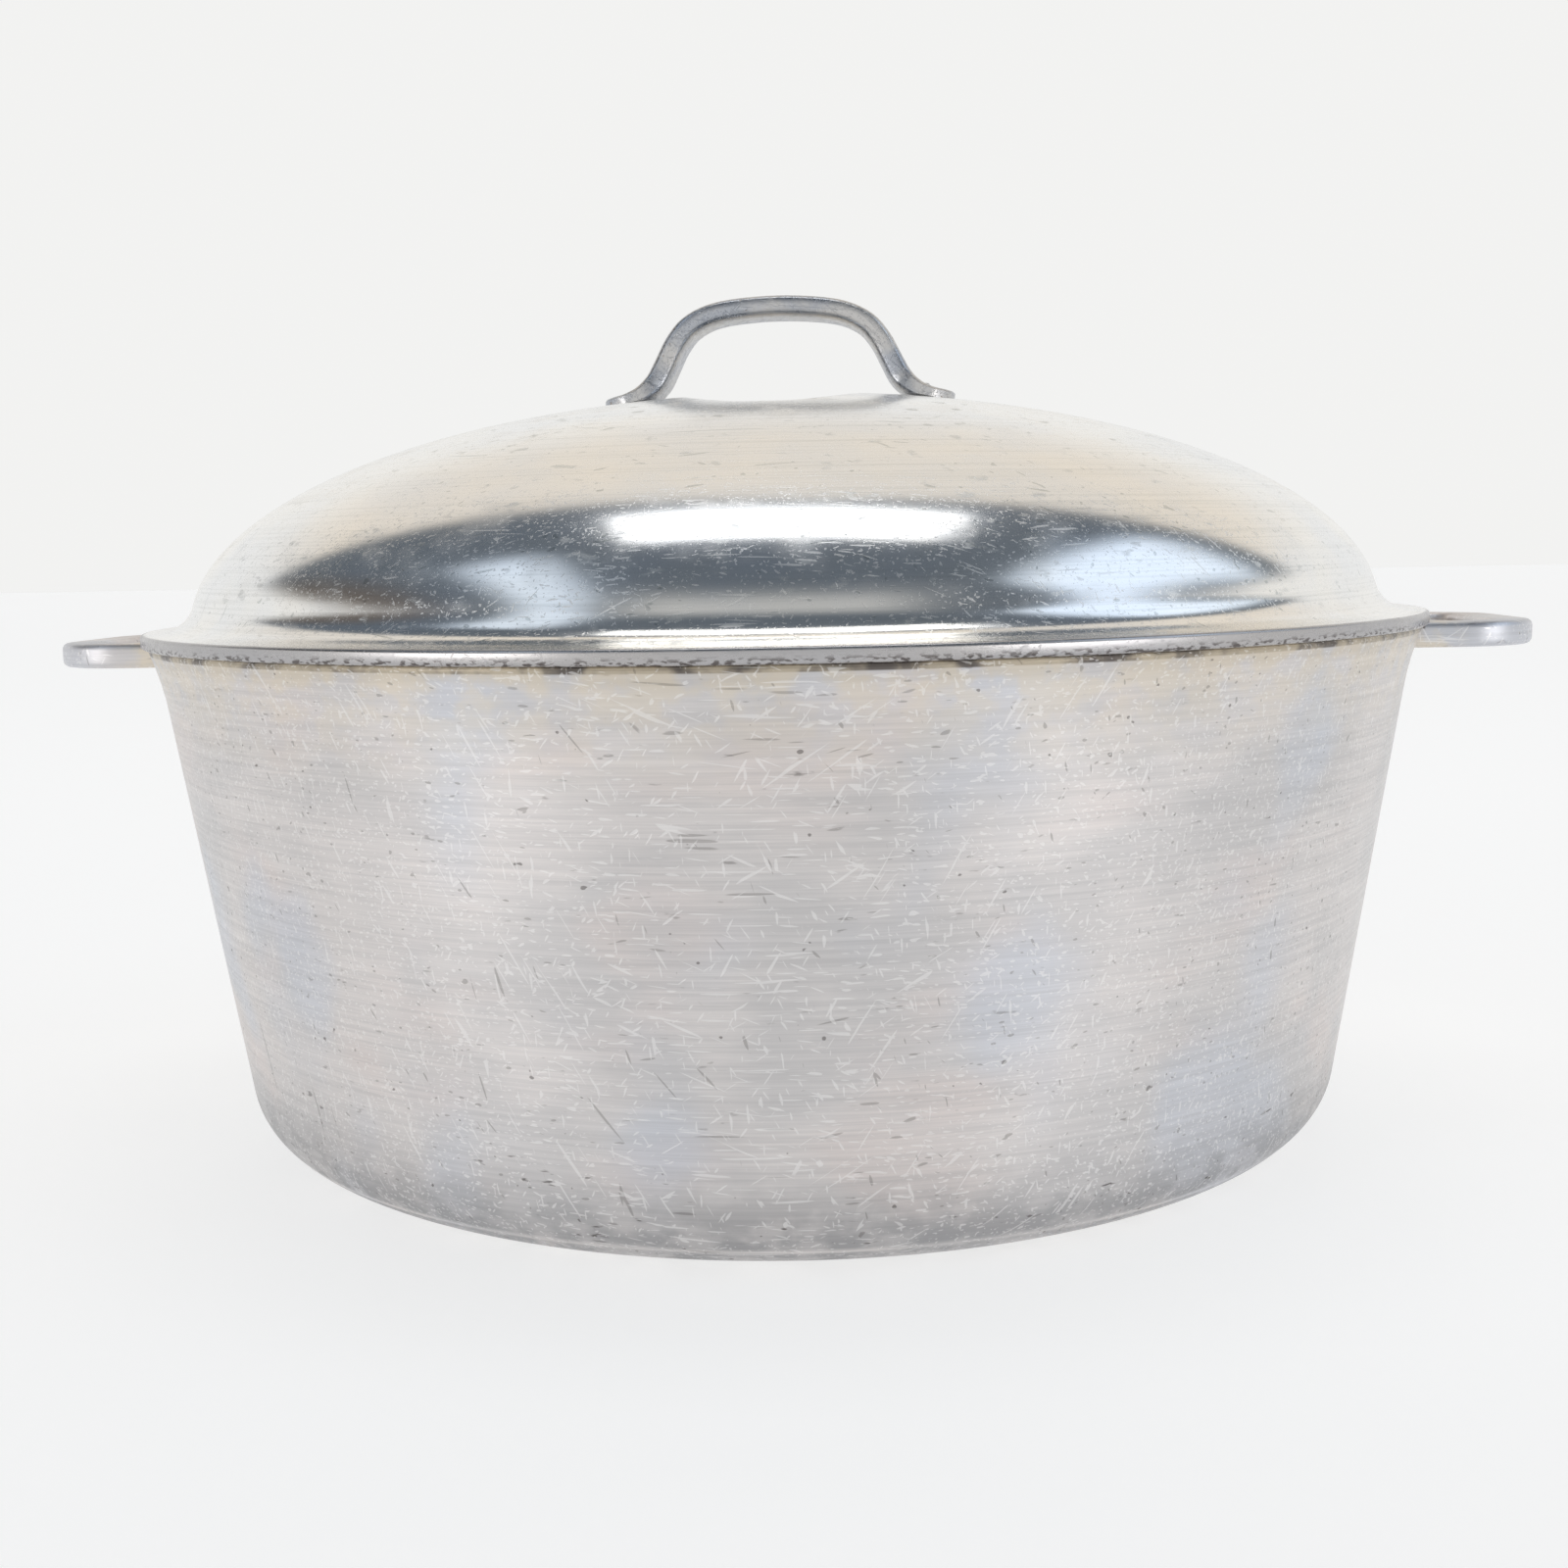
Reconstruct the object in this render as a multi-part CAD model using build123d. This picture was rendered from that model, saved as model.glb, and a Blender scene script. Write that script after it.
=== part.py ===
from build123d import *
from math import cos, pi, sin, sqrt, tan
import os

# Covered round dutch oven in cast aluminium. Millimetres, X from lug to lug, Z up.
# The origin is the centre of the flat underside of the base.

# Pot wall and base
rim_height = 102.0
wall_foot = 113.3        # radius where the straight wall would meet the ground
draft = 0.158            # outward lean of the wall, run over rise
base_corner = 14.0       # rounded corner between wall and base
rim_radius = 131.0
rim_flare = 12.0         # height over which the wall curls out to the rim
wall_thickness = 4.0
floor_thickness = 5.0

# Lugs cast on the rim
lug_end = 153.7
lug_half_width = 28.0
lug_corner = 17.0
lug_thickness = 5.0
lug_edge_round = 1.4
lug_bar = 8.5            # width of the loop's bar round the slot
slot_start = 134.2

# Lid
flange_radius = 132.0
flange_thickness = 2.7
dome_radius = 122.5
dome_base = 105.3        # height of the dome ellipse's centre
dome_height = 45.6
cove_start = 130.6       # where the flange's top begins to sweep up
cove_end_angle = 6.0     # degrees up the dome's ellipse where the sweep ends
lid_wall = 3.2
lip_radius = 123.6
lip_thickness = 2.6
lip_depth = 3.0
crown_wall = 5.0         # the casting is thicker under the handle
scoop_depth = 2.5        # finger scoop sunk in the crown under the handle
scoop_flat = 14.0
scoop_half_width = 24.0
scoop_sweep = 650.0      # radius the scoop's floor follows from front to back
scoop_arc = 14.0         # degrees of that sweep

# Strap handle: outside and inside of its right half, from the middle of the bar down to the foot
handle_outside = [(0, 171.6), (13.5, 170.3), (22.5, 164.6), (26.5, 158.6), (30.5, 153.4), (37.2, 150.2)]
handle_inside = [(0, 167.2), (11.5, 166.4), (17.6, 163.2), (20.8, 157), (23.8, 147.5)]
foot_end = 37.2
foot_low = 147.0
foot_half_width = 8.8
foot_half_length = 7.8
strap_half_width = 6.8
strap_span = 30.0

# Rivets
rivet_x = 30.0
rivet_radius = 1.9
rivet_head_radius = 4.0
rivet_head_height = 1.8
hole_clearance = 0.05
seat_gap = 0.05          # between the crown and the handle's feet
rod_top = 175.0


def turned(outline):
    """Solid of revolution about Z from a closed outline in the XZ plane."""
    return revolve(Plane.XZ * make_face(outline), Axis.Z)


def wall_line(height, inset=0):
    """Radius of the drafted wall at a height."""
    return wall_foot + draft * height - inset


def pot_outline(base, inset):
    """Half section of the pot's wall, from the axis along the base and up to the rim."""
    lean = sqrt(1 + draft ** 2)
    round_height = base + base_corner
    round_centre = wall_line(round_height, inset) - base_corner * lean
    tangent_height = round_height - base_corner * draft / lean
    tangent = (round_centre + base_corner / lean, tangent_height)
    middle_angle = -pi / 4
    middle = (
        round_centre + base_corner * cos(middle_angle),
        round_height + base_corner * sin(middle_angle),
    )
    flare_foot = (wall_line(rim_height - rim_flare, inset), rim_height - rim_flare)
    rim = (rim_radius - inset, rim_height)
    return [
        Line((0, base), (round_centre, base)),
        ThreePointArc((round_centre, base), middle, tangent),
        Line(tangent, flare_foot),
        TangentArc(flare_foot, rim, tangent=(draft, 1)),
        Polyline(rim, (0, rim_height), (0, base)),
    ]


def lug(side):
    """D-shaped loop with a finger slot, flush with the rim."""
    root = rim_radius - 12
    length = lug_end - root
    bottom = rim_height - lug_thickness
    plan = Pos(side * (root + length / 2), 0, bottom) * Rectangle(length, 2 * lug_half_width)
    blank = extrude(plan, lug_thickness)
    corners = blank.edges().filter_by(Axis.Z).sort_by(Axis.X)
    blank = fillet(corners[-2:] if side > 0 else corners[:2], lug_corner)
    rim_edges = blank.faces().filter_by(Axis.Z).edges()
    outer = [edge for edge in rim_edges if side * edge.center().X > root + 1]
    blank = fillet(outer, lug_edge_round)
    slot_end = lug_end - lug_bar
    slot_width = slot_end - slot_start
    slot_plan = RectangleRounded(slot_width, 2 * (lug_half_width - lug_bar), 0.45 * slot_width)
    slot = extrude(Pos(side * (slot_start + slot_end) / 2, 0, bottom) * slot_plan, lug_thickness)
    return blank - slot


def pot_body():
    """Open drafted pot with its two lugs, one casting."""
    outside = turned(pot_outline(0, 0)) + lug(1) + lug(-1)
    return outside - turned(pot_outline(floor_thickness, wall_thickness))


def dome_point(angle, inset=0, crown_inset=0):
    """Point on the dome's ellipse, angle in degrees up from its springing."""
    turn = angle * pi / 180
    run = (dome_radius - inset) * cos(turn) if angle < 90 else 0
    return (run, dome_base + (dome_height - crown_inset) * sin(turn))


def dome_piece(start, end, inset, crown_inset):
    """Bezier curve that follows the dome's ellipse between two angles."""
    reach = 4 / 3 * tan((end - start) * pi / 720)
    corners = [dome_point(angle, inset, crown_inset) for angle in (start, end)]
    handles = []
    for angle, sign, corner in zip((start, end), (1, -1), corners):
        turn = angle * pi / 180
        run = sign * reach * (inset - dome_radius) * sin(turn)
        rise = sign * reach * (dome_height - crown_inset) * cos(turn)
        handles.append((corner[0] + run, corner[1] + rise))
    return Bezier(corners[0], handles[0], handles[1], corners[1])


def dome_arc(start, inset=0, crown_inset=0):
    """The dome's ellipse from an angle up to the crown."""
    middle = 50
    return [dome_piece(start, middle, inset, crown_inset), dome_piece(middle, 90, inset, crown_inset)]


def crown_height(x):
    """Height of the dome's outside at a distance from the axis."""
    return dome_base + dome_height * sqrt(1 - (x / dome_radius) ** 2)


def dome_block(inset=0, crown_inset=0):
    """Solid dome standing on its springing line."""
    foot = (dome_radius - inset, dome_base)
    crown = (0, dome_base + dome_height - crown_inset)
    return turned([*dome_arc(0, inset, crown_inset), Polyline(crown, (0, dome_base), foot)])


def scoop_cutter():
    """Long shallow hollow from front to back, swept about an axis far below the lid."""
    crown = dome_base + dome_height
    floor = crown - scoop_depth
    half = [(0, floor), (scoop_flat, floor + 0.1), (scoop_half_width, crown + 1)]
    section = mirrored(half)
    top = crown + 10
    closing = Polyline(section[-1], (scoop_half_width, top), (-scoop_half_width, top), section[0])
    face = Plane.XZ * make_face([Spline(*section), closing])
    sweep_axis = Axis((0, 0, crown - scoop_sweep), (1, 0, 0))
    return revolve(face.rotate(sweep_axis, -scoop_arc / 2), sweep_axis, scoop_arc)


def rivet_holes():
    """Upright bores through the crown at both feet."""
    return [upright_rod(side, rivet_radius + hole_clearance, dome_base, rod_top) for side in (-1, 1)]


def upright_rod(side, radius, low, high):
    """Vertical cylinder on a rivet's axis."""
    return extrude(Pos(side * rivet_x, 0, low) * Circle(radius), high - low)


def lid_shell():
    """Domed lid with a thin flange, a locating lip and a finger scoop under the handle."""
    top = rim_height + flange_thickness
    cove_top = dome_point(cove_end_angle)
    crown = (0, dome_base + dome_height)
    outside = turned([
        Polyline((0, rim_height), (flange_radius, rim_height), (flange_radius, top), (cove_start, top)),
        TangentArc((cove_start, top), cove_top, tangent=(-1, 0)),
        *dome_arc(cove_end_angle),
        Line(crown, (0, rim_height)),
    ])
    bottom = rim_height - lip_depth
    lip = extrude(Pos(0, 0, bottom) * Circle(lip_radius), lip_depth)
    mouth = extrude(Pos(0, 0, bottom) * Circle(lip_radius - lip_thickness), dome_base - bottom)
    shell = outside + lip - mouth - dome_block(lid_wall, crown_wall) - scoop_cutter()
    for hole in rivet_holes():
        shell -= hole
    return shell


def mirrored(right_half):
    """Both halves of a symmetrical outline, left to right."""
    return [(-x, z) for x, z in reversed(right_half)] + right_half[1:]


def handle_casting():
    """Bridge-shaped strap with spoon feet that lie on the dome, before drilling."""
    outside, inside = mirrored(handle_outside), mirrored(handle_inside)
    side_view = [
        Spline(*outside),
        Polyline(outside[-1], (foot_end, foot_low), (handle_inside[-1][0], foot_low), inside[-1]),
        Spline(*inside),
        Polyline(inside[0], (-handle_inside[-1][0], foot_low), (-foot_end, foot_low), outside[0]),
    ]
    strap = extrude(Plane.XZ * make_face(side_view), foot_half_width, both=True)
    plan = Rectangle(2 * strap_span, 2 * strap_half_width)
    for side in (-1, 1):
        plan += Pos(side * (foot_end - foot_half_length), 0) * Ellipse(foot_half_length, foot_half_width)
    strap = strap & extrude(Pos(0, 0, foot_low) * plan, rod_top - foot_low)
    seat = Pos(0, 0, seat_gap) * dome_block()
    return strap - seat


def lid_handle(casting):
    """The strap with its two rivet bores."""
    for hole in rivet_holes():
        casting -= hole
    return casting


def handle_rivets(casting):
    """One rivet through each foot, headed inside the lid and dressed flush with the foot."""
    rivets = []
    inside = dome_block(lid_wall, crown_wall)
    seat_height = crown_height(rivet_x)
    head_low = seat_height - crown_wall - rivet_head_height
    for side in (-1, 1):
        shank = upright_rod(side, rivet_radius, head_low, seat_height + 1)
        tip = upright_rod(side, rivet_radius, seat_height, rod_top) & casting
        head = upright_rod(side, rivet_head_radius, head_low, rod_top) & inside
        rivets.append(shank + tip + head)
    return Compound(children=[solid for rivet in rivets for solid in rivet.solids()])


os.makedirs("parts", exist_ok=True)
casting = handle_casting()
for name, shape in {
    "pot_body": pot_body(),
    "lid_shell": lid_shell(),
    "lid_handle": lid_handle(casting),
    "handle_rivets": handle_rivets(casting),
}.items():
    print(name, shape.is_valid, len(shape.solids()), round(shape.volume))
    export_step(shape, f"parts/{name}.step")
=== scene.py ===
import math

import bpy
from mathutils import Matrix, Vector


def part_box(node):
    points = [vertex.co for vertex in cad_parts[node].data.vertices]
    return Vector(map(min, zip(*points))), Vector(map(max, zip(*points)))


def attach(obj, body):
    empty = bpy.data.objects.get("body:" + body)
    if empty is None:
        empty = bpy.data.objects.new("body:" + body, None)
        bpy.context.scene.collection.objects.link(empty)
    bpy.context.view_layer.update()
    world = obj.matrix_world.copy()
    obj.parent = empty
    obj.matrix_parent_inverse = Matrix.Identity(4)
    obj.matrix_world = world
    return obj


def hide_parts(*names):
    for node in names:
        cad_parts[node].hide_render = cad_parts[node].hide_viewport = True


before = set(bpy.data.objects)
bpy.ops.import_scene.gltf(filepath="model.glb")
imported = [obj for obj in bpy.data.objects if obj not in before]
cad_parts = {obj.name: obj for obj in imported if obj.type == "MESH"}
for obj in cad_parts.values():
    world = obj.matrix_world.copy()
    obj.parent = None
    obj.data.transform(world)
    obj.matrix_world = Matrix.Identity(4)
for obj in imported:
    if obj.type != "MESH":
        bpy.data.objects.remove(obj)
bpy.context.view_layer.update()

turnSteps = 256    # vertices round every turned piece


class Wire:
    # one output socket, so that masks can be written as sums and products
    def __init__(self, sheet, socket):
        self.sheet = sheet
        self.socket = socket

    def math(self, operation, first, second):
        return self.sheet.add("ShaderNodeMath", {"operation": operation}, [first, second])

    def __add__(self, other):
        return self.math("ADD", self, other)

    __radd__ = __add__

    def __sub__(self, other):
        return self.math("SUBTRACT", self, other)

    def __rsub__(self, other):
        return self.math("SUBTRACT", other, self)

    def __mul__(self, other):
        return self.math("MULTIPLY", self, other)

    __rmul__ = __mul__

    def __pow__(self, other):
        return self.math("POWER", self, other)

    def __or__(self, other):
        return self.math("MAXIMUM", self, other)

    def above(self, low, high):
        # 0 below low, 1 above high, smooth between
        values = {"Value": self, "From Min": low, "From Max": high}
        return self.sheet.add("ShaderNodeMapRange", {"interpolation_type": "SMOOTHSTEP"}, values)

    def below(self, low, high):
        return 1 - self.above(low, high)

    def between(self, low, high, soft):
        return self.above(low - soft, low + soft) * self.below(high - soft, high + soft)


class Sheet:
    # node tree of a material or a world
    def __init__(self, block, coordinates="Object"):
        block.use_nodes = True
        self.block = block
        self.tree = block.node_tree
        self.tree.nodes.clear()
        self.place = self.add("ShaderNodeTexCoord", {}, {}, coordinates)

    def add(self, kind, settings, values, output=0):
        node = self.tree.nodes.new(kind)
        for key, value in settings.items():
            setattr(node, key, value)
        pairs = values.items() if isinstance(values, dict) else enumerate(values)
        for key, value in pairs:
            if isinstance(value, Wire):
                self.tree.links.new(value.socket, node.inputs[key])
            else:
                node.inputs[key].default_value = value
        return Wire(self, node.outputs[output])

    def axes(self):
        return [self.add("ShaderNodeSeparateXYZ", {}, {"Vector": self.place}, name) for name in "XYZ"]

    def grain(self, size, detail=2.0, turn=(0, 0, 0), shift=(0, 0, 0), vector=None):
        # noise whose features measure size (x, y, z) in metres, after a turn
        values = {"Vector": vector or self.place, "Scale": size, "Rotation": turn, "Location": shift}
        fitted = self.add("ShaderNodeMapping", {"vector_type": "TEXTURE"}, values)
        return self.add("ShaderNodeTexNoise", {}, {"Vector": fitted, "Scale": 1.0, "Detail": detail})

    def strokes(self, length, width, rarity, turns, shift=0.0):
        # thin scratches, one family per turn
        marks = None
        for i, turn in enumerate(turns):
            place = (shift + 0.17 * i, 0.31 * i, 0.05 * i)
            family = self.grain((length, width, width), 0.0, turn, place).above(rarity, rarity + 0.03)
            marks = family if marks is None else marks | family
        return marks

    def mix(self, factor, first, second):
        # from the first colour to the second, each a wire or three numbers
        first, second = [colour if isinstance(colour, Wire) else (*colour, 1) for colour in (first, second)]
        return self.add("ShaderNodeMix", {"data_type": "RGBA"}, {0: factor, 6: first, 7: second}, 2)

    def bump(self, height, depth):
        return self.add("ShaderNodeBump", {}, {"Strength": 1.0, "Distance": depth, "Height": height})

    def finish(self, surface):
        # surface maps Principled sockets to numbers, colours or wires
        shader = self.add("ShaderNodeBsdfPrincipled", {}, surface)
        output = self.tree.nodes.new("ShaderNodeOutputMaterial")
        self.tree.links.new(shader.socket, output.inputs["Surface"])
        return self.block


def newSheet(name):
    return Sheet(bpy.data.materials.new(name))


def slants(axis, degrees):
    # turns about one axis of the object
    turns = []
    for angle in degrees:
        turn = [0, 0, 0]
        turn[axis] = math.radians(angle)
        turns.append(turn)
    return turns


def deselectAll():
    if bpy.context.object and bpy.context.object.mode != "OBJECT":
        bpy.ops.object.mode_set(mode="OBJECT")
    bpy.ops.object.select_all(action="DESELECT")


def activate(piece):
    deselectAll()
    piece.select_set(True)
    bpy.context.view_layer.objects.active = piece


def nameCurrent(name):
    piece = bpy.context.object
    piece.name = piece.data.name = name
    return piece


def selectWhere(piece, test):
    # edit mode: vertices chosen by place
    bpy.ops.mesh.select_all(action="DESELECT")
    bpy.ops.object.mode_set(mode="OBJECT")
    for vertex in piece.data.vertices:
        vertex.select = bool(test(vertex.co))
    bpy.ops.object.mode_set(mode="EDIT")


def applyPlace():
    bpy.ops.object.transform_apply(location=True, rotation=True, scale=True)


def editAll():
    # edit mode with everything selected
    bpy.ops.object.mode_set(mode="EDIT")
    bpy.ops.mesh.select_all(action="SELECT")


def extrudeUp(distance):
    bpy.ops.mesh.extrude_region_move(TRANSFORM_OT_translate={"value": (0, 0, distance)})


def closeRing():
    # edit mode, an open ring selected: filled with faces that meet at its middle
    extrudeUp(0)
    bpy.ops.mesh.merge(type="CENTER")


def selectOpenEdges():
    bpy.ops.mesh.select_all(action="DESELECT")
    bpy.ops.mesh.select_non_manifold()


def growRings(sections):
    # edit mode, last ring selected: one extrusion and one resize per section, up to the pole
    radius, height = sections[0]
    for nextRadius, nextHeight in sections[1:]:
        extrudeUp(nextHeight - height)
        factor = nextRadius / radius
        bpy.ops.transform.resize(value=(factor, factor, 1), center_override=(0, 0, nextHeight))
        radius, height = nextRadius, nextHeight
    closeRing()


def turnShell(name, upward, downward):
    # a closed shell of revolution, grown both ways from one ring
    radius, height = upward[0]
    deselectAll()
    bpy.ops.mesh.primitive_circle_add(vertices=turnSteps, radius=radius, location=(0, 0, height))
    applyPlace()
    piece = nameCurrent(name)
    editAll()
    growRings(upward)
    selectOpenEdges()
    growRings([upward[0]] + downward)
    return piece


def closeShell(piece, smoothAngle):
    # merged, with normals outwards, and smooth up to an angle
    activate(piece)
    editAll()
    bpy.ops.mesh.remove_doubles(threshold=0.000005)
    bpy.ops.mesh.normals_make_consistent(inside=False)
    bpy.ops.object.mode_set(mode="OBJECT")
    bpy.ops.object.shade_smooth_by_angle(angle=math.radians(smoothAngle))


def arcPoints(centreRadius, centreHeight, radius, startDegrees, endDegrees, count):
    # (radius, height) points along an arc of a profile
    points = []
    for i in range(count + 1):
        angle = math.radians(startDegrees + (endDegrees - startDegrees) * i / count)
        points.append((centreRadius + radius * math.cos(angle), centreHeight + radius * math.sin(angle)))
    return points


def carve(piece, cutter):
    activate(piece)
    modifier = piece.modifiers.new("carve", "BOOLEAN")
    modifier.operation = "DIFFERENCE"
    modifier.solver = "EXACT"
    modifier.object = cutter
    bpy.ops.object.modifier_apply(modifier=modifier.name)
    bpy.data.objects.remove(cutter)


def roundEdges(piece, width, segments, degrees):
    activate(piece)
    rounding = piece.modifiers.new("edgeRound", "BEVEL")
    rounding.width = width
    rounding.segments = segments
    rounding.angle_limit = math.radians(degrees)
    bpy.ops.object.modifier_apply(modifier=rounding.name)


def dress(piece, body, node, material):
    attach(piece, body)
    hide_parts(node)
    piece.data.materials.clear()
    piece.data.materials.append(material)


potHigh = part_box("pot_body")[1]    # highest corners at rest
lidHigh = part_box("lid_shell")[1]

pot = {
    "wallFoot": 0.1133,
    "draft": 0.158,
    "corner": 0.014,
    "rim": potHigh[2],
    "rimRadius": 0.1309,
    "flare": 0.012,
    "wall": 0.004,
    "floor": 0.005,
    "rimRound": 0.0007,
    "cornerSteps": 22,
    "wallSteps": 30,
    "rimSteps": 4,
    "flatRings": (0.8, 0.55, 0.3, 0.1),    # shares of the radius of the floor and of the underside
}

brushed = {
    "light": (0.755, 0.72, 0.705),
    "bright": (0.92, 0.91, 0.90),
    "dull": (0.655, 0.635, 0.63),
    "pink": (0.78, 0.70, 0.67),
    "blue": (0.62, 0.66, 0.74),
    "amber": (0.78, 0.68, 0.52),
    # near-black: dirt in flecks, pits and deep scratches, and painted shade under the rim and along the seam
    # with the lid
    "nearBlack": (0.10, 0.085, 0.075),
    "grey": (0.34, 0.34, 0.35),
    "roughness": 0.34,
    "brushLines": (0.05, 0.05, 0.0007),    # sizes of the patterns, in metres
    "fineLines": (0.014, 0.014, 0.00028),
    "clouds": (0.03, 0.03, 0.022),
    "pinkClouds": (0.035, 0.035, 0.02),
    "blueClouds": (0.04, 0.04, 0.05),
    "patches": (0.007, 0.007, 0.005),
    "flecks": (0.004, 0.004, 0.0012),
    "pits": (0.0022, 0.0022, 0.0017),
    "scratch": (0.014, 0.0006),    # length and width
    "deepScratch": (0.022, 0.0009),
    "wallMiddle": (0.1105, 0.1115),    # radii at the ground that part the outside from the inside
    "floorMiddle": (0.0035, 0.0045),
    "wornFoot": (0.003, 0.024),    # heights over which the wear fades out
    "fleckedFoot": (0.01, 0.03),
    "lugSide": (0.1311, 0.1316),    # radii where the rim ends and a lug begins
    # heights of a patchy band of painted shade on the pot's wall under the lid's flange
    "shadeUnderRim": (0.0990, 0.1022),
    # height and radius where the painted shade line at the lid's seat begins
    "seamHeight": (0.1006, 0.1010),
    "seamReach": (0.1295, 0.1302),
    "lugRoot": (0.1285, 0.1375),
    "relief": 0.000025,
}


def brushedPot():
    sheet = newSheet("brushedPot")
    x, y, z = sheet.axes()
    brush = sheet.grain(brushed["brushLines"], 4.0)
    fine = sheet.grain(brushed["fineLines"], shift=(0.3, 0.2, 0.1))
    cloud = sheet.grain(brushed["clouds"], 5.0)
    pinkCloud = sheet.grain(brushed["pinkClouds"], shift=(0.5, 0.1, 0.7))
    blueCloud = sheet.grain(brushed["blueClouds"], shift=(0.9, 0.4, 0.2))
    patches = sheet.grain(brushed["patches"], 4.0, shift=(0.2, 0.8, 0.4))
    colour = sheet.mix(cloud.above(0.38, 0.62), brushed["dull"], brushed["light"])
    colour = sheet.mix(pinkCloud.above(0.5, 0.68) * 0.55, colour, brushed["pink"])
    colour = sheet.mix(blueCloud.above(0.5, 0.66) * 0.55, colour, brushed["blue"])
    streaks = (brush.above(0.3, 0.7) * 0.6 + fine.above(0.3, 0.7) * 0.4) * 0.30
    colour = sheet.mix(streaks, colour, brushed["grey"])
    slanted = slants(1, (8, 24, -33, 61, -58, 85)) + slants(0, (20, -41, 70))
    scratches = sheet.strokes(*brushed["scratch"], 0.765, slanted)
    deepTurns = slants(1, (0, 52, -12, 77)) + slants(0, (0, 63))
    deep = sheet.strokes(*brushed["deepScratch"], 0.825, deepTurns, 0.6)
    flecks = sheet.grain(brushed["flecks"], shift=(0.1, 0.6, 0.3)).above(0.70, 0.78)
    pits = sheet.grain(brushed["pits"], 1.0).above(0.77, 0.80)
    reach = (x * x + y * y) ** 0.5
    outer = (reach - pot["draft"] * z).above(*brushed["wallMiddle"]) | z.below(*brushed["floorMiddle"])
    wear = outer * z.below(*brushed["wornFoot"]) * (0.55 + 0.45 * patches.above(0.35, 0.6))
    wall = reach.below(*brushed["lugSide"])
    # painted shade under the lid's flange, broken into patches
    shadeUnderRim = wall * z.between(*brushed["shadeUnderRim"], 0.0012) * (0.2 + 0.3 * patches.above(0.4, 0.6))
    # painted shade: the rim's top edge darkened almost to black where the lid's flange sits on it
    seamShade = wall * z.above(*brushed["seamHeight"]) * reach.above(*brushed["seamReach"])
    colour = sheet.mix(wear * 0.85, colour, brushed["grey"])
    dirty = flecks * (0.25 + 0.5 * outer * z.below(*brushed["fleckedFoot"]))
    colour = sheet.mix(dirty, colour, brushed["nearBlack"])
    # painted shade under the rim and along the seam with the lid, in the near-black colour
    colour = sheet.mix(shadeUnderRim * 0.55 | seamShade * 0.92, colour, brushed["nearBlack"])
    stain = reach.between(*brushed["lugRoot"], 0.003) * patches.above(0.35, 0.6)
    colour = sheet.mix(stain * 0.6, colour, brushed["amber"])
    colour = sheet.mix(pits * 0.5 | deep * 0.35, colour, brushed["nearBlack"])
    colour = sheet.mix(scratches * 0.35, colour, brushed["bright"])
    roughness = brushed["roughness"] + 0.1 * streaks + 0.12 * cloud + 0.15 * wear + 0.2 * (flecks | pits)
    relief = brush * 0.5 + fine * 0.35 - scratches * 0.5 - deep * 0.9 - pits * 1.6
    return sheet.finish({
        "Base Color": colour,
        "Metallic": 1.0,
        "Roughness": roughness - 0.08 * scratches,
        "Anisotropic": 0.65,
        "Anisotropic Rotation": 0.25,
        "Normal": sheet.bump(relief, brushed["relief"]),
    })


def wallRadius(height, inset):
    # drafted wall that curls out a little under the rim
    radius = pot["wallFoot"] + pot["draft"] * height - inset
    share = (height - pot["rim"] + pot["flare"]) / pot["flare"]
    curl = pot["rimRadius"] - pot["wallFoot"] - pot["draft"] * pot["rim"]
    return radius + curl * max(0, share) ** 2


def potWall(base, inset):
    # underside or floor edge, rounded corner, wall up to just below the rim
    slope = math.degrees(math.atan(pot["draft"]))
    height = base + pot["corner"]
    lean = math.hypot(1, pot["draft"])
    centre = pot["wallFoot"] + pot["draft"] * height - inset - pot["corner"] * lean
    points = arcPoints(centre, height, pot["corner"], -90, -slope, pot["cornerSteps"])
    start, end = points[-1][1], pot["rim"] - pot["rimRound"]
    for i in range(1, pot["wallSteps"] + 1):
        level = start + (end - start) * i / pot["wallSteps"]
        points.append((wallRadius(level, inset), level))
    return points


def makePot():
    outside = potWall(0, 0)
    inside = potWall(pot["floor"], pot["wall"])
    rimRound, steps = pot["rimRound"], pot["rimSteps"]
    lipHeight = pot["rim"] - rimRound
    outerLip = arcPoints(outside[-1][0] - rimRound, lipHeight, rimRound, 0, 90, steps)
    innerLip = arcPoints(inside[-1][0] + rimRound, lipHeight, rimRound, 90, 180, steps)
    floor = [(inside[0][0] * share, pot["floor"]) for share in pot["flatRings"]]
    underside = [(outside[0][0] * share, 0) for share in (0.97, *pot["flatRings"])]
    upward = outside + outerLip[1:] + innerLip[:-1] + inside[::-1] + floor
    return turnShell("potBody", upward, underside)


potMaterial = brushedPot()
potBody = makePot()
closeShell(potBody, 30)
dress(potBody, "pot", "pot_body", potMaterial)
print("pot modelled")

lug = {
    "root": 0.122,
    "end": potHigh[0],
    "halfWidth": 0.028,
    "cornerRound": 0.017,
    "cornerSteps": 20,
    "bar": 0.0085,    # width of the loop round the slot
    "bottom": 0.097,
    "top": potHigh[2],
    "edgeRound": 0.0013,
    "slotStart": 0.1342,
    "slotRound": 0.45,    # share of the slot's width
    "slotSteps": 10,
    "cutBeyond": 0.01,    # how far a cutter stands out above and below
    "buried": 0.1286,    # radius of the pot's wall that the lug's root ends inside
}


def cylinderBlock(radius, low, high):
    deselectAll()
    bpy.ops.mesh.primitive_cylinder_add(vertices=turnSteps, radius=radius, depth=high - low,
                                        location=(0, 0, (low + high) / 2))
    applyPlace()
    return bpy.context.object


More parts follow.
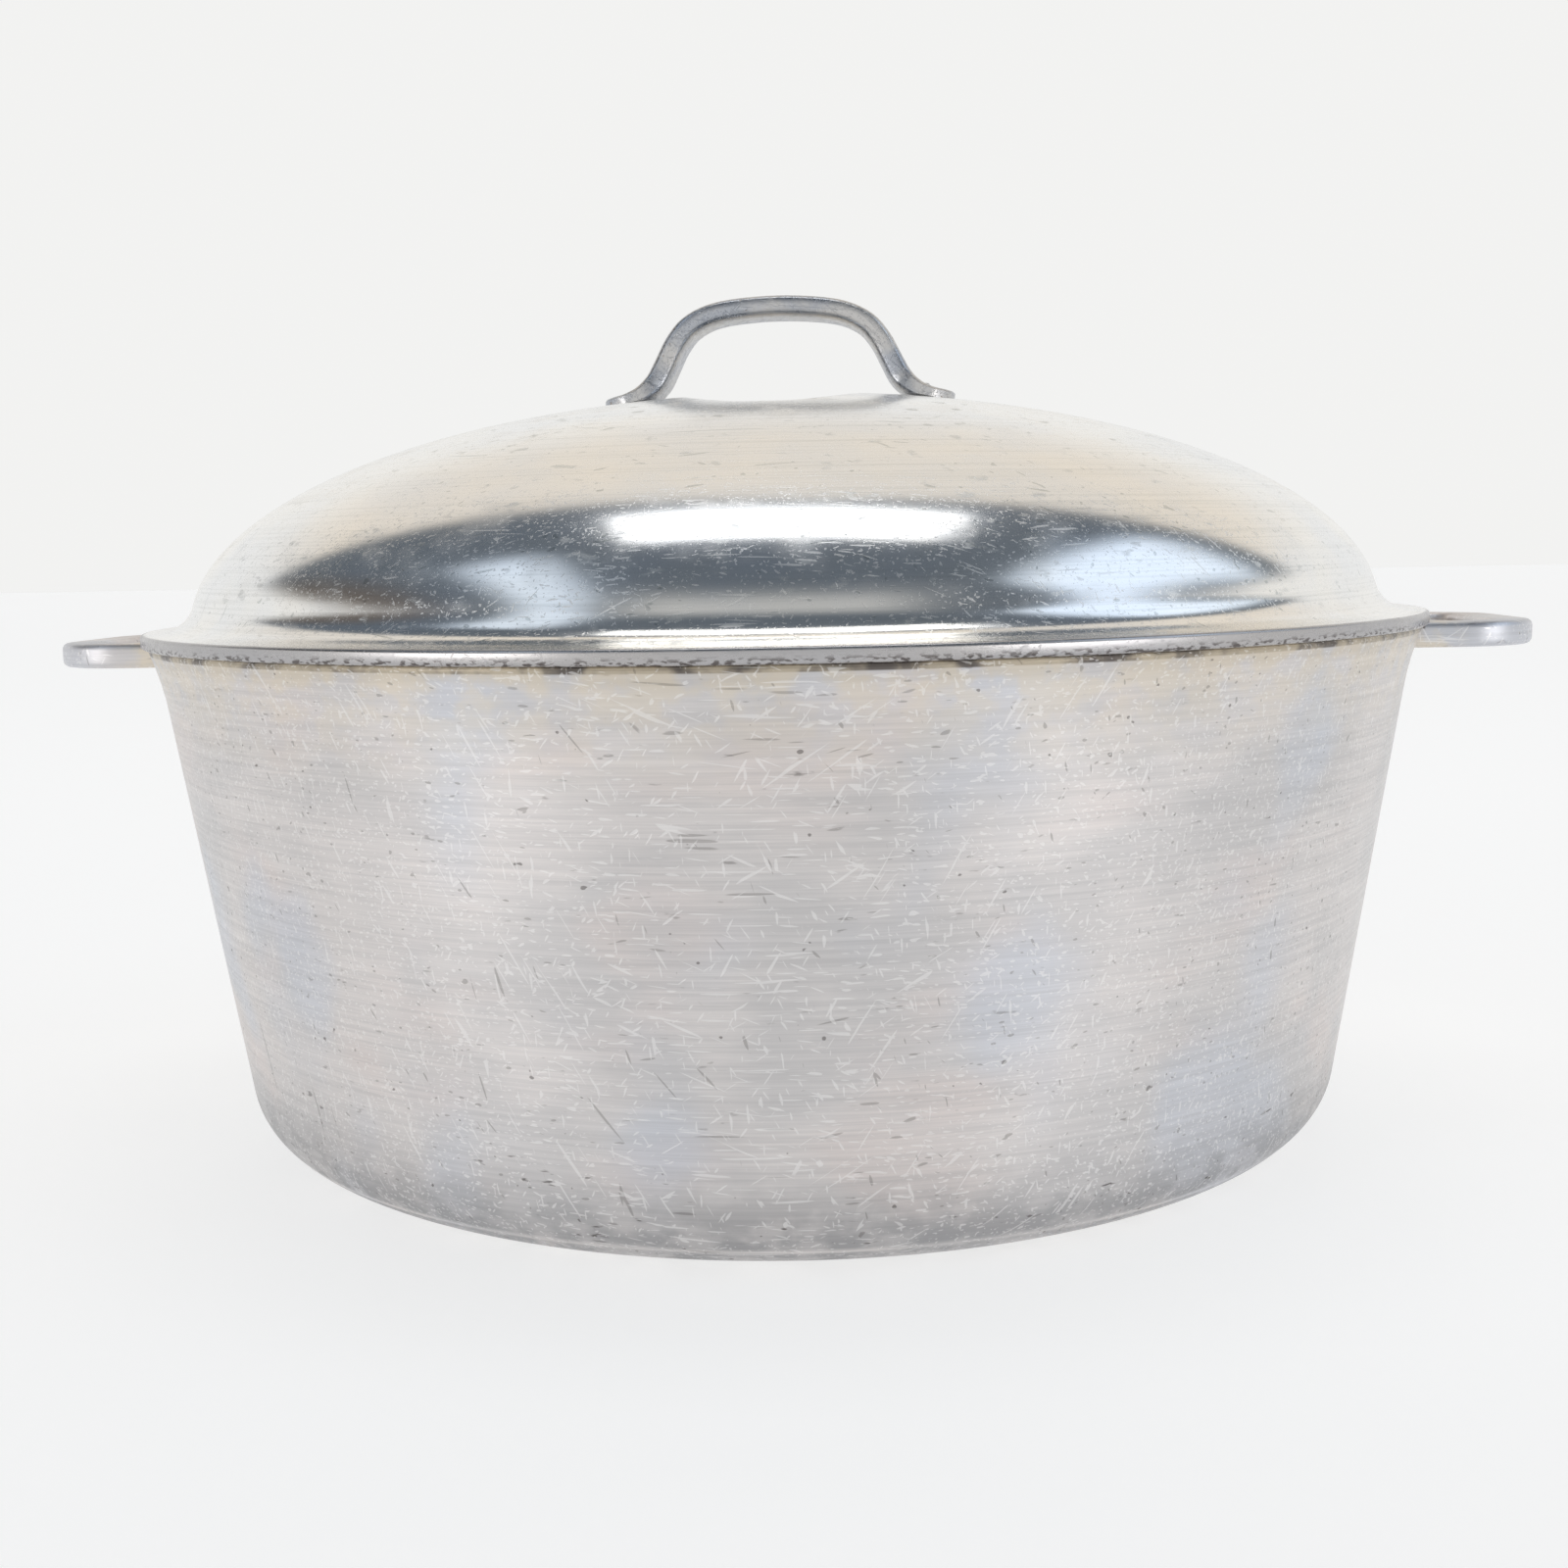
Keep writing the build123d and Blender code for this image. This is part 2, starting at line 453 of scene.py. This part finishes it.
def lugBlank(name, side, run, halfWidth, heights, roundFrom, corner, steps):
    # flat blank, with its corners beyond a radius rounded
    start, end = run
    low, high = heights
    deselectAll()
    bpy.ops.mesh.primitive_plane_add(size=1, location=(side * (start + end) / 2, 0, high))
    piece = nameCurrent(name)
    piece.scale = (end - start, 2 * halfWidth, 1)
    applyPlace()
    bpy.ops.object.mode_set(mode="EDIT")
    selectWhere(piece, lambda co: side * co.x > roundFrom)
    bpy.ops.mesh.bevel(offset=corner, segments=steps, affect="VERTICES", clamp_overlap=False)
    bpy.ops.mesh.select_all(action="SELECT")
    extrudeUp(low - high)
    bpy.ops.mesh.select_all(action="SELECT")
    bpy.ops.mesh.normals_make_consistent(inside=False)
    bpy.ops.object.mode_set(mode="OBJECT")
    return piece


def makeLug(name, side):
    root, end, halfWidth = lug["root"], lug["end"], lug["halfWidth"]
    heights = (lug["bottom"], lug["top"])
    cutHeights = (lug["bottom"] - lug["cutBeyond"], lug["top"] + lug["cutBeyond"])
    slotRun = (lug["slotStart"], end - lug["bar"])
    slotRound = lug["slotRound"] * (slotRun[1] - slotRun[0])
    piece = lugBlank(name, side, (root, end), halfWidth, heights, (root + end) / 2,
                     lug["cornerRound"], lug["cornerSteps"])
    carve(piece, lugBlank("lugSlot", side, slotRun, halfWidth - lug["bar"], cutHeights, 0,
                          slotRound, lug["slotSteps"]))
    roundEdges(piece, lug["edgeRound"], 4, 50)
    carve(piece, cylinderBlock(lug["buried"], *cutHeights))
    closeShell(piece, 30)
    return piece


for suffix, side in (("Right", 1), ("Left", -1)):
    dress(makeLug("lug" + suffix, side), "pot", "pot_body", potMaterial)
print("lugs modelled")

lid = {
    "seat": potHigh[2],
    "flange": lidHigh[1],
    "flangeThickness": 0.0027,
    "edgeRound": 0.0007,
    "coveStart": 0.1306,
    "coveEndAngle": 6,
    "coveSteps": 14,
    "domeRadius": 0.1225,
    "domeBase": 0.1053,
    "domeHeight": 0.0456,
    "wall": 0.0032,
    "crownWall": 0.005,
    "lipOuter": 0.1236,
    "lipThickness": 0.0026,
    "lipDepth": 0.003,
    "lipRound": 0.0005,
    "insideFoot": 0.104,    # height where the lip's inside ends
    "insideStart": 1,    # degrees up the dome's inside
    "lastRing": 89.3,    # degrees, the ring next to the pole
    "edgeSteps": 5,
    "domeSteps": 60,
}

polished = {
    "warm": (0.93, 0.905, 0.86),
    "cool": (0.87, 0.875, 0.88),
    "speck": (0.33, 0.36, 0.34),
    "edge": (0.34, 0.33, 0.34),
    # near-black dirt in the pits along the flange's edge
    "nearBlack": (0.055, 0.04, 0.035),
    "roughness": 0.085,
    "turnedLines": (0.06, 0.06, 0.0006),    # sizes of the patterns, in metres
    "haze": (0.03, 0.03, 0.02),
    "smudges": (0.011, 0.011, 0.006),
    "specks": (0.0045, 0.0045, 0.0016),
    "pits": (0.0016, 0.0016, 0.0016),
    "edgePits": (0.0015, 0.0015, 0.0006),
    "scratch": (0.017, 0.0005),    # length and width
    "deepScratch": (0.022, 0.0011),
    "upperDome": (0.122, 0.15),    # heights over which the dome grows duller
    "flangeEdge": (0.1309, 0.1317),    # radii
    "pittedEdge": (0.1024, 0.1036),    # heights
    "relief": 0.000005,
}


def polishedLid():
    sheet = newSheet("polishedLid")
    x, y, z = sheet.axes()
    reach = (x * x + y * y) ** 0.5
    track = sheet.add("ShaderNodeCombineXYZ", {}, [x, y, reach - z])
    turnedLines = sheet.grain(polished["turnedLines"], 3.0, vector=track)
    haze = sheet.grain(polished["haze"], 3.0, shift=(0.4, 0.3, 0.2))
    smudges = sheet.grain(polished["smudges"], 4.0, shift=(0.7, 0.1, 0.5))
    flatTurns = slants(2, (4, 31, -22, 63, -57, 88))
    steepTurns = slants(1, (3, 21, -28, 48, -52, 72, -80)) + slants(0, (18, -35, 66))
    scratches = sheet.strokes(*polished["scratch"], 0.79, flatTurns + steepTurns)
    deepTurns = slants(2, (12, -38)) + slants(1, (-2, 37, -61))
    deep = sheet.strokes(*polished["deepScratch"], 0.815, deepTurns, 0.4)
    specks = sheet.grain(polished["specks"], 3.0, shift=(0.2, 0.9, 0.1)).above(0.62, 0.72)
    pits = sheet.grain(polished["pits"], 1.0).above(0.78, 0.81)
    colour = sheet.mix(haze.above(0.35, 0.65), polished["warm"], polished["cool"])
    upper = z.above(*polished["upperDome"])
    colour = sheet.mix(specks * (0.15 + 0.35 * upper), colour, polished["speck"])
    colour = sheet.mix(turnedLines.above(0.45, 0.75) * (0.16 + 0.12 * upper), colour, polished["speck"])
    colour = sheet.mix((pits | deep) * 0.4, colour, polished["speck"])
    flangeEdge = reach.above(*polished["flangeEdge"])
    patchy = sheet.grain(polished["edgePits"], 3.0, shift=(0.5, 0.2, 0.6))
    pitted = z.below(*polished["pittedEdge"]) * patchy.above(0.48, 0.60)
    colour = sheet.mix(flangeEdge * 0.8, colour, polished["edge"])
    colour = sheet.mix(flangeEdge * pitted * 0.8, colour, polished["nearBlack"])
    roughness = polished["roughness"] + 0.09 * haze + 0.16 * scratches + 0.12 * specks + 0.1 * flangeEdge
    roughness = roughness + 0.10 * smudges.above(0.5, 0.75) + 0.06 * turnedLines
    relief = turnedLines * 0.45 + haze * 0.5 - scratches * 0.5 - deep - pits * 1.5 - flangeEdge * pitted * 2
    return sheet.finish({
        "Base Color": colour,
        "Metallic": 1.0,
        "Roughness": roughness,
        "Normal": sheet.bump(relief, polished["relief"]),
    })


def domePoint(degrees, inset=0, crownInset=0):
    angle = math.radians(degrees)
    radius = (lid["domeRadius"] - inset) * math.cos(angle)
    return (radius, lid["domeBase"] + (lid["domeHeight"] - crownInset) * math.sin(angle))


def domeRings(start, inset=0, crownInset=0):
    steps = lid["domeSteps"]
    step = (lid["lastRing"] - start) / steps
    return [domePoint(start + step * i, inset, crownInset) for i in range(steps + 1)]


def coveRings():
    # concave sweep from the flange's top into the dome, tangent at both ends
    top = lid["seat"] + lid["flangeThickness"]
    endRadius, endHeight = domePoint(lid["coveEndAngle"])
    angle = math.radians(lid["coveEndAngle"])
    slope = (lid["domeRadius"] * math.sin(angle), -lid["domeHeight"] * math.cos(angle))
    meetRadius = endRadius + slope[0] * (endHeight - top) / -slope[1]
    rings = []
    for i in range(lid["coveSteps"]):
        t = i / lid["coveSteps"]
        radius = lid["coveStart"] * (1 - t) ** 2 + 2 * meetRadius * t * (1 - t) + endRadius * t ** 2
        height = top * (1 - t) ** 2 + 2 * top * t * (1 - t) + endHeight * t ** 2
        rings.append((radius, height))
    return rings


def makeLid():
    seat, edge, steps = lid["seat"], lid["edgeRound"], lid["edgeSteps"]
    top = seat + lid["flangeThickness"]
    start = (lid["lipOuter"], seat)
    lowEdge = arcPoints(lid["flange"] - edge, seat + edge, edge, -90, 0, steps)
    highEdge = arcPoints(lid["flange"] - edge, top - edge, edge, 0, 90, steps)
    outside = [start] + lowEdge + highEdge + coveRings() + domeRings(lid["coveEndAngle"])
    bottom, lipRound = seat - lid["lipDepth"], lid["lipRound"]
    lipInner = lid["lipOuter"] - lid["lipThickness"]
    lip = [(lid["lipOuter"], bottom + lipRound), (lid["lipOuter"] - lipRound, bottom)]
    lip += [(lipInner + lipRound, bottom), (lipInner, bottom + lipRound), (lipInner, lid["insideFoot"])]
    inside = domeRings(lid["insideStart"], lid["wall"], lid["crownWall"])
    return turnShell("lidShell", outside, lip + inside)


scoop = {
    "depth": 0.0025,
    "floorHalf": 0.0125,
    "topHalf": 0.0285,
    "topAbove": 0.0012,
    "round": 0.009,
    "roundSteps": 12,
    "sweep": 0.65,    # radius its floor follows from front to back
    "degrees": 14,
    "steps": 64,
}


def scoopCutter():
    # wide shallow channel section, swept front to back about an axis far below
    crown = lid["domeBase"] + lid["domeHeight"]
    low, high = crown - scoop["depth"], crown + scoop["topAbove"]
    axis = (0, 0, crown - scoop["sweep"])
    deselectAll()
    bpy.ops.mesh.primitive_plane_add(size=1, location=(0, 0, (low + high) / 2), rotation=(math.pi / 2, 0, 0))
    piece = nameCurrent("scoopCutter")
    piece.scale = (2 * scoop["topHalf"], high - low, 1)
    applyPlace()
    bpy.ops.object.mode_set(mode="EDIT")
    selectWhere(piece, lambda co: co.z < (low + high) / 2)
    bpy.ops.transform.resize(value=(scoop["floorHalf"] / scoop["topHalf"], 1, 1), center_override=(0, 0, low))
    bpy.ops.mesh.bevel(offset=scoop["round"], segments=scoop["roundSteps"], affect="VERTICES",
                       clamp_overlap=False)
    bpy.ops.object.mode_set(mode="OBJECT")
    half = math.radians(scoop["degrees"] / 2)
    away = Matrix.Translation(axis)
    piece.matrix_world = away @ Matrix.Rotation(-half, 4, "X") @ away.inverted() @ piece.matrix_world
    applyPlace()
    editAll()
    bpy.ops.mesh.spin(steps=scoop["steps"], angle=-2 * half, center=axis, axis=(1, 0, 0))
    bpy.ops.mesh.select_all(action="SELECT")
    bpy.ops.mesh.remove_doubles(threshold=0.000001)
    bpy.ops.mesh.normals_make_consistent(inside=False)
    bpy.ops.object.mode_set(mode="OBJECT")
    return piece


lidMaterial = polishedLid()
lidShell = makeLid()
closeShell(lidShell, 30)
carve(lidShell, scoopCutter())
closeShell(lidShell, 20)
dress(lidShell, "lid", "lid_shell", lidMaterial)
print("lid modelled")

handle = {
    # right half from the middle of the bar to the tip of the foot: x, z, thickness and width in mm
    "stations": [
        (0, 169.35, 4.4, 13.6),
        (8, 168.95, 4.4, 13.6),
        (14, 167.9, 4.4, 13.6),
        (18.6, 165.6, 4.5, 13.6),
        (21.6, 162.1, 4.6, 13.6),
        (23.8, 157.9, 4.7, 13.8),
        (25.8, 154.3, 4.7, 14.6),
        (28.6, 151.8, 4.0, 16.6),
        (31.8, 150.6, 3.0, 17.3),
        (34.5, 150.1, 2.7, 14.4),
        (36.2, 149.8, 2.5, 10.4),
        (37.0, 149.7, 1.9, 5.5),
    ],
    "between": 4,    # sections from one station to the next
    "corner": 0.23,    # share of the section's thickness and width
    "cornerSteps": 3,
}

worn = {
    "face": (0.42, 0.44, 0.48),
    "bright": (0.58, 0.57, 0.56),
    "brown": (0.45, 0.38, 0.32),
    "roughness": 0.22,
    "clouds": (0.009, 0.009, 0.009),    # sizes of the patterns, in metres
    "grit": (0.0009, 0.0009, 0.0009),
    "pits": (0.0011, 0.0011, 0.0011),
    "scratch": (0.006, 0.0004),    # length and width
    "relief": 0.00008,
}


def wornHandle():
    sheet = newSheet("wornHandle")
    cloud = sheet.grain(worn["clouds"], 3.0)
    grit = sheet.grain(worn["grit"])
    scratches = sheet.strokes(*worn["scratch"], 0.71, slants(1, (5, 40, -50, 80)) + slants(2, (30, -60)))
    pits = sheet.grain(worn["pits"], 1.0, shift=(0.3, 0.3, 0.3)).above(0.72, 0.76)
    colour = sheet.mix(cloud.above(0.35, 0.65), worn["face"], worn["bright"])
    colour = sheet.mix(pits * 0.6, colour, worn["brown"])
    return sheet.finish({
        "Base Color": colour,
        "Metallic": 1.0,
        "Roughness": worn["roughness"] + 0.12 * cloud + 0.2 * scratches,
        "Normal": sheet.bump(cloud * 0.8 + grit * 0.4 - scratches * 0.6 - pits, worn["relief"]),
    })


def smoothStations(keys, between):
    # curve through the keys, with each key's slope taken from its neighbours
    result = []
    for i in range(len(keys) - 1):
        before, start = keys[max(i - 1, 0)], keys[i]
        end, after = keys[i + 1], keys[min(i + 2, len(keys) - 1)]
        for step in range(between):
            t = step / between
            weights = (
                -0.5 * t + t * t - 0.5 * t ** 3,
                1 - 2.5 * t * t + 1.5 * t ** 3,
                0.5 * t + 2 * t * t - 1.5 * t ** 3,
                -0.5 * t * t + 0.5 * t ** 3,
            )
            corners = (before, start, end, after)
            result.append([sum(w * c[k] for w, c in zip(weights, corners)) for k in range(4)])
    result.append(list(keys[-1]))
    return result


def makeHandle():
    right = [[value * 0.001 for value in station] for station in handle["stations"]]
    left = [[-station[0]] + station[1:] for station in right[:0:-1]]
    stations = smoothStations(left + right, handle["between"])
    deselectAll()
    bpy.ops.mesh.primitive_plane_add(size=1, rotation=(0, math.pi / 2, 0))
    piece = nameCurrent("lidHandle")
    applyPlace()
    editAll()
    bpy.ops.mesh.bevel(offset=handle["corner"], segments=handle["cornerSteps"], affect="VERTICES")
    bpy.ops.mesh.select_all(action="SELECT")
    bpy.ops.mesh.delete(type="ONLY_FACE")
    bpy.ops.mesh.select_all(action="SELECT")
    x, z, thickness, width, angle = 0, 0, 1, 1, 0
    for i, (nextX, nextZ, nextThickness, nextWidth) in enumerate(stations):
        before, after = stations[max(i - 1, 0)], stations[min(i + 1, len(stations) - 1)]
        nextAngle = math.atan2(after[1] - before[1], after[0] - before[0])
        if i:
            extrudeUp(0)
        # upright again, resized, moved on, then tilted along the strap
        spot = (x, 0, z)
        bpy.ops.transform.rotate(value=-angle, orient_axis="Y", center_override=spot)
        factors = (1, nextWidth / width, nextThickness / thickness)
        bpy.ops.transform.resize(value=factors, center_override=spot)
        bpy.ops.transform.translate(value=(nextX - x, 0, nextZ - z))
        spot = (nextX, 0, nextZ)
        bpy.ops.transform.rotate(value=nextAngle, orient_axis="Y", center_override=spot)
        x, z, thickness, width, angle = nextX, nextZ, nextThickness, nextWidth, nextAngle
    closeRing()
    selectOpenEdges()
    closeRing()
    closeShell(piece, 40)
    return piece


handleMaterial = wornHandle()
dress(makeHandle(), "lid", "lid_handle", handleMaterial)
print("handle modelled")

rivet = {
    "x": 0.030,
    "shank": 0.0019,
    "head": 0.004,
    "headLow": 0.1427,
    "headHigh": 0.1447,
    "top": 0.1531,
    "round": 0.0005,
    "steps": 48,
}


def makeRivet(name, side):
    deselectAll()
    depth = rivet["headHigh"] - rivet["headLow"]
    place = (side * rivet["x"], 0, (rivet["headHigh"] + rivet["headLow"]) / 2)
    bpy.ops.mesh.primitive_cylinder_add(vertices=rivet["steps"], radius=rivet["head"], depth=depth,
                                        location=place)
    applyPlace()
    piece = nameCurrent(name)
    bpy.ops.object.mode_set(mode="EDIT")
    bpy.ops.mesh.select_mode(type="FACE")
    bpy.ops.mesh.select_all(action="DESELECT")
    bpy.ops.object.mode_set(mode="OBJECT")
    for face in piece.data.polygons:
        face.select = face.normal.z > 0.9
    bpy.ops.object.mode_set(mode="EDIT")
    bpy.ops.mesh.inset(thickness=rivet["head"] - rivet["shank"])
    extrudeUp(rivet["top"] - rivet["headHigh"])
    bpy.ops.mesh.select_mode(type="VERT")
    bpy.ops.object.mode_set(mode="OBJECT")
    roundEdges(piece, rivet["round"], 3, 50)
    closeShell(piece, 35)
    return piece


for suffix, side in (("Right", 1), ("Left", -1)):
    dress(makeRivet("rivet" + suffix, side), "lid", "handle_rivets", handleMaterial)
print("rivets modelled")

studio = {
    "white": (0.89, 0.89, 0.88),
    "warm": (0.82, 0.765, 0.69),
    "panel": (4.4, 4.3, 4.25),
    "room": (0.115, 0.138, 0.168),
    "brownRoom": (0.13, 0.112, 0.10),
    "window": (0.95, 1.08, 1.25),
    "rightWindow": ((0.58, 0.88), (-0.42, 0.30), (0.30, 0.42)),    # directions x, y and z
    "leftWindow": ((0.47, 0.66), (-0.70, -0.05)),    # directions -x and y
    "panelSpan": ((0.60, 0.90), (-0.80, -0.20), (0.12, 0.30)),
    "floorGlow": 0.675,
    "floorWhite": 0.36,
    "floorSize": 14,
    "lightPlace": (0.01, 0.06, 1.42),
    "lightSize": (0.86, 0.42),
    "lightPower": 2.6,
}


def softRoom():
    # white tent behind, darker room with two windows in front and a pale strip above the table
    sheet = Sheet(bpy.data.worlds.new("softRoom"), "Generated")
    x, y, z = sheet.axes()
    side = (x * x) ** 0.5
    tent = (y - 0.12 * side).above(0.34, 0.39)
    across, along, up = studio["rightWindow"]
    rightWindow = x.between(*across, 0.06) * y.between(*along, 0.08) * z.above(*up)
    across, along = studio["leftWindow"]
    leftWindow = (0 - x).between(*across, 0.06) * y.between(*along, 0.10) * 0.8
    across, along, up = studio["panelSpan"]
    panels = side.between(*across, 0.08) * y.between(*along, 0.1) * z.below(*up)
    centreGlow = z.below(0.45, 0.82) * side.below(0.25, 0.55) * 0.6
    low = z.below(0.30, 0.44)
    colour = sheet.mix((x + 0.9).below(0.0, 0.15), studio["room"], studio["brownRoom"])
    colour = sheet.mix(centreGlow, colour, studio["white"])
    colour = sheet.mix(rightWindow | leftWindow, colour, studio["window"])
    colour = sheet.mix(low, colour, studio["white"])
    colour = sheet.mix(panels, colour, studio["panel"])
    back = sheet.mix(z.above(0.33, 0.62), studio["white"], studio["warm"])
    colour = sheet.mix(tent, colour, back)
    background = sheet.add("ShaderNodeBackground", {}, {"Color": colour, "Strength": 1.0})
    output = sheet.tree.nodes.new("ShaderNodeOutputWorld")
    sheet.tree.links.new(background.socket, output.inputs["Surface"])
    return sheet.block


bpy.context.scene.world = softRoom()
bpy.context.scene.view_settings.view_transform = "Standard"

deselectAll()
bpy.ops.mesh.primitive_plane_add(size=studio["floorSize"], location=(0, 0, -0.0005))
floor = nameCurrent("studioFloor")
floorSheet = newSheet("paleFloor")
shade = studio["floorWhite"]
floor.data.materials.append(floorSheet.finish({
    "Base Color": (shade, shade, shade, 1),
    "Roughness": 0.8,
    "Emission Color": (1, 1, 0.995, 1),
    "Emission Strength": studio["floorGlow"],
}))

deselectAll()
bpy.ops.object.light_add(type="AREA", location=studio["lightPlace"])
softLight = bpy.context.object
softLight.name = "overheadSoftLight"
softLight.data.shape = "RECTANGLE"
softLight.data.size, softLight.data.size_y = studio["lightSize"]
softLight.data.energy = studio["lightPower"]
print("studio lit")

camera = {
    "place": (0.024907, -0.408708, 0.119049),
    "azimuth": -3.5957,
    "pitch": 7.1205,
    "roll": -1.1209,
    "lens": 43.373,
}
deselectAll()
bpy.ops.object.camera_add(location=camera["place"])
eye = bpy.context.object
eye.name = "viewCamera"
eye.data.lens = camera["lens"]
eye.data.sensor_width = 36
eye.data.clip_start = 0.01
turn = Matrix.Rotation(math.radians(-camera["azimuth"]), 4, "Z")
tip = Matrix.Rotation(math.radians(90 - camera["pitch"]), 4, "X")
spin = Matrix.Rotation(math.radians(camera["roll"]), 4, "Z")
eye.matrix_world = Matrix.Translation(camera["place"]) @ turn @ tip @ spin
bpy.context.scene.camera = eye
